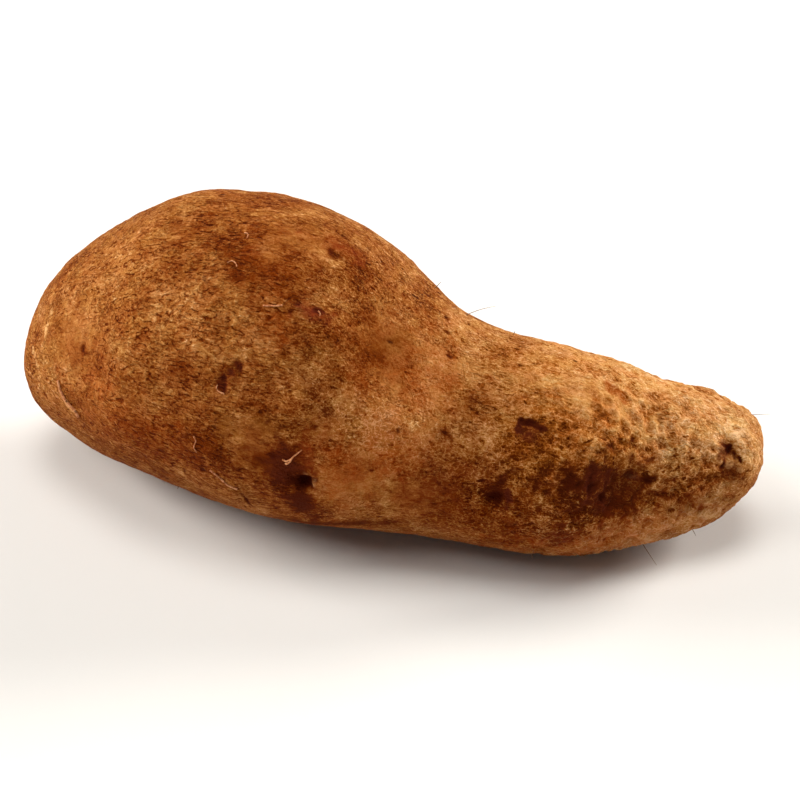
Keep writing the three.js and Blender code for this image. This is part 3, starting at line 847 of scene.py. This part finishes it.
skinPatches = {  # shown where their noise passes from the first edge to the second
    "crackPlaces": {"stretch": 0.6, "pitch": 5.0, "detail": 3, "rough": 0.6, "edges": (0.45, 0.56)},
    "dashPlaces": {"stretch": 0.6, "pitch": 5.0, "detail": 3, "rough": 0.6, "edges": (0.56, 0.42)},
    "breaks": {"stretch": 0.5, "pitch": 1.5, "detail": 1, "rough": 0.5, "edges": (0.4, 0.52)},
    "pits": {"stretch": 0.5, "pitch": 1.9, "detail": 1.5, "rough": 0.5, "edges": (0.38, 0.31)},
    "drift": {"stretch": 1, "pitch": 6.5, "detail": 3, "rough": 0.6, "edges": (0.36, 0.64)},
}

skinTones = {  # all are shares of the ramps, which run from dark at 0 to light at 1
    "plain": 0.52,
    "fineLift": 0.1,
    "unrubbed": 1.02,
    "rubbed": 0.8,  # of the fine grain that a rub takes away
    "cracks": 1.05,
    "uncracked": 0.25,  # of the cracks that are left where the skin isn't cracked
    "dashes": 0.6,
    "linesAll": 0.1,
    "linesHead": 0.25,
    "strands": 0.14,
    "feltLevel": 0.22,
    "felt": 0.23,
    "pits": 0.28,
    # the crumple darkens the net's hollows and lightens its ridges: painted shade and light over the relief
    "crumpleLevel": 0.5,
    "crumple": 0.32,
}

skinTints = {
    "pallorPatches": 0.8,
    # warmth and warm: how much more saturated the skin is where the shades lighten it, partly painted light
    "warmth": 2.0,
    "warm": (1.0, 0.85, 0.66, 1),
    # how strongly the painted shade on the lower skin shows
    "low": 0.45,
    "drift": ((1.02, 0.99, 1.04, 1), (0.985, 1.01, 0.94, 1)),
}

markLooks = {  # a mark shows where its field, made uneven, passes from the first edge to the second
    "rust": {"uneven": 3.0, "edges": (0.0, 1.0), "tone": -0.08, "cover": 0.5},
    "olive": {"uneven": 2.0, "edges": (0.0, 1.1), "tone": -0.03, "cover": 0.5},
    "wine": {"uneven": 2.6, "edges": (0.0, 1.1), "tone": -0.12, "cover": 0.45},
    "stain": {"uneven": 2.8, "edges": (0.05, 1.1), "tone": -0.32, "cover": 0.52},
    "scar": {"uneven": 3.0, "edges": (0.1, 0.95), "tone": -0.5, "cover": 0.8},
    "pale": {"uneven": 3.0, "edges": (0.2, 0.8), "tone": 0.3, "cover": 0.5},
}
markGrain = {"mottle": 0.6, "fuzz": 0.4}  # what makes a mark uneven

skinBump = {
    "strength": 0.9,
    "distance": 0.0007,
    "grains": {"fuzz": 0.9, "speck": 0.35, "curls": 0.5, "mottle": 0.9},
    "lines": 0.6,
}

skinSurface = {
    "Roughness": 0.85,
    "Specular IOR Level": 0.04,
    "Specular Tint": colour(255, 205, 160),
    "Sheen Roughness": 0.35,
    "Sheen Tint": colour(255, 205, 150),
}
sheen = {"weight": 0.03, "edges": (0.7, 0.0)}  # the fuzz that lights up along the edges, less on stains


def grainsOf(n, grains):
    plain = n.place()
    bent = n.warped(n.place(leaning["stretch"]), *leaning["bend"])
    made = {}
    for name, grain in grains.items():
        place = bent if grain.get("leaning") else plain
        if grain.get("ridged"):
            made[name] = n.ridged(place, grain["pitch"], 2, grain["rough"])
        else:
            made[name] = n.noise(place, grain["pitch"], 2, grain["rough"], grain.get("warp", 0.0))
    return made


def lineOf(n, look):
    place = n.warped(n.place(look["stretch"]), *look["bend"])
    return n.ridge(n.noise(place, look["pitch"], look["detail"]), look["thin"])


def patchesOf(n, look):
    spread = n.noise(n.place(look["stretch"]), look["pitch"], look["detail"], look["rough"])
    return n.between(spread, *look["edges"])


def linesOf(n, tones):
    lines = {name: lineOf(n, look) for name, look in skinLines.items()}
    patches = {name: patchesOf(n, look) for name, look in skinPatches.items()}
    cracks = n.times(n.times(lines["cracks"], patches["crackPlaces"]), patches["breaks"])
    shown = n.plus(tones["uncracked"], n.times(n.field("cracked"), 1 - tones["uncracked"]))
    lines["cracks"] = n.times(n.times(cracks, tones["cracks"]), shown)
    lines["dashes"] = n.times(lines["dashes"], patches["dashPlaces"])
    return lines, patches


def grainTone(n, made, names, start):
    # each grain moves the tone up and down from its middle
    moves = [n.times(n.minus(made[name], 0.5), skinGrain[name]["tone"]) for name in names]
    return n.total(start, moves)


def fineTone(n, made, lines, pits, tones):
    head = n.minus(1.0, n.field("tail"))
    uncracked = n.minus(1.0, n.field("cracked"))
    dark = n.plus(lines["cracks"], n.times(lines["dashes"], tones["dashes"]))
    darkness = n.plus(tones["linesAll"], n.times(head, tones["linesHead"]))
    fine = n.minus(grainTone(n, made, fineGrain, 0.0), n.times(dark, darkness))
    fine = n.plus(fine, n.times(lines["strands"], tones["strands"]))
    felt = n.minus(lines["felt"], tones["feltLevel"])
    fine = n.plus(fine, n.times(felt, n.times(uncracked, tones["felt"])))
    return n.minus(fine, n.times(pits, n.times(uncracked, tones["pits"])))


def skinTone(n, made, fine, unrubbed, tones):
    tail = n.field("tail")
    tone = grainTone(n, made, coarseGrain, tones["plain"])
    tone = n.plus(tone, n.times(n.plus(fine, tones["fineLift"]), unrubbed))
    # the shades add their tone shifts here, partly painted light and shade
    tone = n.plus(tone, n.field("shade"))
    # painted shade in the crumple's hollows and painted light on its ridges, over the real relief
    crumple = n.minus(n.times(n.field("crumple"), tail), n.times(tail, tones["crumpleLevel"]))
    return n.plus(tone, n.times(crumple, tones["crumple"]))


def markShares(n, made):
    parts = [n.times(made[name], share) for name, share in markGrain.items()]
    unevenness = n.minus(n.plus(*parts), 0.5)
    shares = {}
    for kind, look in markLooks.items():
        uneven = n.times(n.field(kind), n.plus(1.0, n.times(unevenness, look["uneven"])))
        shares[kind] = n.between(uneven, *look["edges"])
    return shares


def paintSkin(n, tone, patch, drift, shares, colours, tints):
    pallor = n.plus(n.field("pallor"), n.times(n.minus(patch, 0.5), tints["pallorPatches"]))
    paint = n.mix(pallor, n.ramp(tone, colours["head"]), n.ramp(tone, colours["tail"]))
    # more saturated where the shades lift the tone, partly painted light
    paint = n.mix(n.times(n.field("shade"), tints["warmth"]), paint, tints["warm"], "MULTIPLY")
    # painted shade: darker and redder towards the floor
    paint = n.mix(n.times(n.field("low"), tints["low"]), paint, colours["low"])
    paint = n.mix(1.0, paint, n.mix(drift, *tints["drift"]), "MULTIPLY")
    for kind, look in markLooks.items():
        paint = n.mix(n.times(shares[kind], look["cover"]), paint, colours[kind])
    n.plug(n.shader.inputs["Base Color"], paint)


def bumpSkin(n, made, lines, unrubbed, bump):
    height = n.total(0.0, [n.times(made[name], share) for name, share in bump["grains"].items()])
    sunk = n.times(n.plus(lines["cracks"], lines["dashes"]), bump["lines"])
    inputs = {"Strength": bump["strength"], "Distance": bump["distance"]}
    inputs["Height"] = n.times(n.minus(height, sunk), unrubbed)
    n.plug(n.shader.inputs["Normal"], n.node("Bump", {}, inputs).outputs["Normal"])


def makeSkinMaterial():
    n = Nodes("corky skin")
    made = grainsOf(n, skinGrain)
    lines, patches = linesOf(n, skinTones)
    fine = fineTone(n, made, lines, patches["pits"], skinTones)
    unrubbed = n.minus(skinTones["unrubbed"], n.times(n.field("rub"), skinTones["rubbed"]))
    tone = skinTone(n, made, fine, unrubbed, skinTones)
    shares = markShares(n, made)
    tone = n.total(tone, [n.times(shares[kind], look["tone"]) for kind, look in markLooks.items()])
    paintSkin(n, tone, made["patch"], patches["drift"], shares, skinColours, skinTints)
    bumpSkin(n, made, lines, unrubbed, skinBump)
    for name, value in skinSurface.items():
        n.shader.inputs[name].default_value = value
    fuzzy = n.between(n.field("stain"), *sheen["edges"])
    n.plug(n.shader.inputs["Sheen Weight"], n.times(fuzzy, sheen["weight"]))
    return n.material


skin.data.materials.append(makeSkinMaterial())
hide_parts("yam_tuber")
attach(skin, "root")
print("the skin is painted")

# rootlets and root hairs

rootlets = {
    "sides": 6,
    "lift": 0.2,  # of the middle of a rootlet over the skin
    "steps": 4,  # from one point of a path to the next
    "pieces": {  # thick is the diameter at the start and the end; path is along, around
        "rootlet_upper": {
            "thick": (0.6, 0.6),
            "path": [(102.8, 35.3), (105, 34.7), (107, 34), (108.8, 33)],
        },
        "rootlet_wavy": {
            "thick": (0.5, 0.35),
            "path": [(84.4, 87), (85.1, 88.8), (84.2, 91.6), (85.2, 93.5)],
        },
        "rootlet_low": {
            "thick": (0.55, 0.75),
            "path": [(89.2, 101), (92.3, 103.4), (95.2, 106.3), (98.2, 108.1)],
        },
        "rootlet_by_hole": {
            "thick": (0.85, 0.45),
            "path": [(116.9, 88.8), (118.3, 87.4), (119.2, 85.2), (121.8, 82)],
        },
        "rootlet_red_hole": {
            "thick": (0.5, 0.4),
            "path": [(119.8, 29.6), (120.6, 30.2), (120.8, 31.2)],
        },
        "rootlet_fork": {
            "thick": (0.6, 0.5),
            "path": [(115.8, 87.2), (117.2, 87.4), (118.6, 86.2)],
        },
        "rootlet_hook": {
            "thick": (0.4, 0.5),
            "path": [(92.2, 65.7), (92, 66.8), (93, 67.8), (94.9, 68.2)],
        },
        "rootlet_low_edge": {
            "thick": (0.9, 1.15),
            "path": [(25.6, 80), (27, 86), (29.6, 91.5), (32.6, 95), (34, 98.5)],
        },
        "rootlet_crown": {
            "thick": (0.5, 0.3),
            "path": [(87.6, 9.1), (89, 9.6), (89.3, 11.6)],
        },
        "rootlet_bent": {
            "thick": (0.4, 0.35),
            "path": [(86.4, 23.6), (87.6, 22.4), (89.2, 23), (90, 24.2)],
        },
    },
}

hairs = {
    "sides": 5,
    "sunk": 0.4,
    "steps": 8,
    "taper": 0.35,
    "pieces": {  # lean turns the hair from the skin's normal; droop lowers its end
        "hair_waist": {"at": (145.7, 327), "length": 3.2, "thick": 0.45, "lean": (0.5, 0.4, 0.4)},
        "hair_arched": {"at": (158, 332), "length": 11, "thick": 0.3, "lean": (1.4, 0.4, 0.2), "droop": 0.35},
        "hair_neck": {"at": (174.5, 328), "length": 1.8, "thick": 0.4, "lean": (0.2, 0.3, 0.5)},
        "hair_tip": {"at": (257.6, 333), "length": 7, "thick": 0.26, "lean": (2.2, 0.2, -0.6)},
        "hair_low_a": {"at": (195.3, 127), "length": 3.4, "thick": 0.35, "lean": (0.3, -0.3, -0.5)},
        "hair_low_b": {"at": (201.2, 134), "length": 1.4, "thick": 0.8, "lean": (0, 0, -0.2)},
        "hair_low_c": {"at": (230, 134), "length": 9.5, "thick": 0.32, "lean": (1.3, -0.9, -0.4)},
        "hair_low_d": {"at": (245.7, 128), "length": 3, "thick": 0.3, "lean": (0.6, -0.4, -0.3)},
        "hair_under_head": {"at": (70, 129), "length": 1.5, "thick": 0.5, "lean": (0, 0, 0)},
    },
}


def tube(name, path, radii, sides):
    # a closed round strand through the points, in millimetres
    rings = []
    for i, centre in enumerate(path):
        heading = (path[min(i + 1, len(path) - 1)] - path[max(i - 1, 0)]).normalized()
        side = heading.orthogonal().normalized()
        upright = heading.cross(side)
        turns = [2 * math.pi * k / sides for k in range(sides)]
        rings.append([centre + radii[i] * (math.cos(t) * side + math.sin(t) * upright) for t in turns])
    corners = [p * millimetre for ring in rings for p in ring]
    faces = []
    for i in range(len(rings) - 1):
        for k in range(sides):
            a, b = i * sides + k, i * sides + (k + 1) % sides
            faces.append((a, b, b + sides, a + sides))
    faces.append(tuple(reversed(range(sides))))
    faces.append(tuple(range((len(rings) - 1) * sides, len(rings) * sides)))
    mesh = bpy.data.meshes.new(name)
    mesh.from_pydata(corners, [], faces)
    mesh.polygons.foreach_set("use_smooth", [True] * len(mesh.polygons))
    made = bpy.data.objects.new(name, mesh)
    bpy.context.collection.objects.link(made)
    return made


def smoothRun(points, steps):
    # a smooth run through the points, by Catmull-Rom
    padded = [points[0] * 2 - points[1], *points, points[-1] * 2 - points[-2]]
    run = []
    for i in range(1, len(padded) - 2):
        a, b, c, d = padded[i - 1 : i + 3]
        for k in range(steps):
            t = k / steps
            square = (2 * a - 5 * b + 4 * c - d) * t**2
            cube = (3 * b - a - 3 * c + d) * t**3
            run.append(0.5 * (2 * b + (c - a) * t + square + cube))
    return run + [points[-1]]


def evenRadii(count, start, end):
    return [(start + (end - start) * i / (count - 1)) / 2 for i in range(count)]


def makeStrandMaterial(name, light, dark):
    n = Nodes(name)
    place = n.node("TexCoord", {}, {}).outputs["Object"]
    streaks = n.noise(place, 0.0009, 3, 0.6)
    n.plug(n.shader.inputs["Base Color"], n.mix(n.between(streaks, 0.35, 0.65), dark, light))
    n.shader.inputs["Roughness"].default_value = 0.8
    n.shader.inputs["Specular IOR Level"].default_value = 0.1
    return n.material


paleRoot = makeStrandMaterial("dried rootlet", colour(226, 160, 112), colour(176, 104, 62))
darkRoot = makeStrandMaterial("root hair", colour(150, 118, 92), colour(96, 70, 52))


def ridesOnRoot(piece, material):
    piece.data.materials.append(material)
    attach(piece, "root")


def addRootlets(rootlets):
    for name, piece in rootlets["pieces"].items():
        points = []
        for along, around in piece["path"]:
            point, normal, _, _ = skinPlace(along, around)
            points.append(point + normal * rootlets["lift"])
        run = smoothRun(points, rootlets["steps"])
        radii = evenRadii(len(run), *piece["thick"])
        ridesOnRoot(tube(name, run, radii, rootlets["sides"]), paleRoot)


def addHairs(hairs):
    steps = hairs["steps"]
    down = Vector((0, 0, -1))
    for name, piece in hairs["pieces"].items():
        foot, normal, _, _ = skinPlace(*piece["at"])
        heading = (normal + Vector(piece["lean"])).normalized()
        run = [foot - normal * hairs["sunk"]]
        for i in range(steps):
            share = i / (steps - 1)
            turned = (heading + down * share * piece.get("droop", 0.0)).normalized()
            run.append(run[-1] + turned * piece["length"] / steps)
        radii = evenRadii(len(run), piece["thick"], piece["thick"] * hairs["taper"])
        ridesOnRoot(tube(name, run, radii, hairs["sides"]), darkRoot)


addRootlets(rootlets)
addHairs(hairs)
print("rootlets and hairs are on")
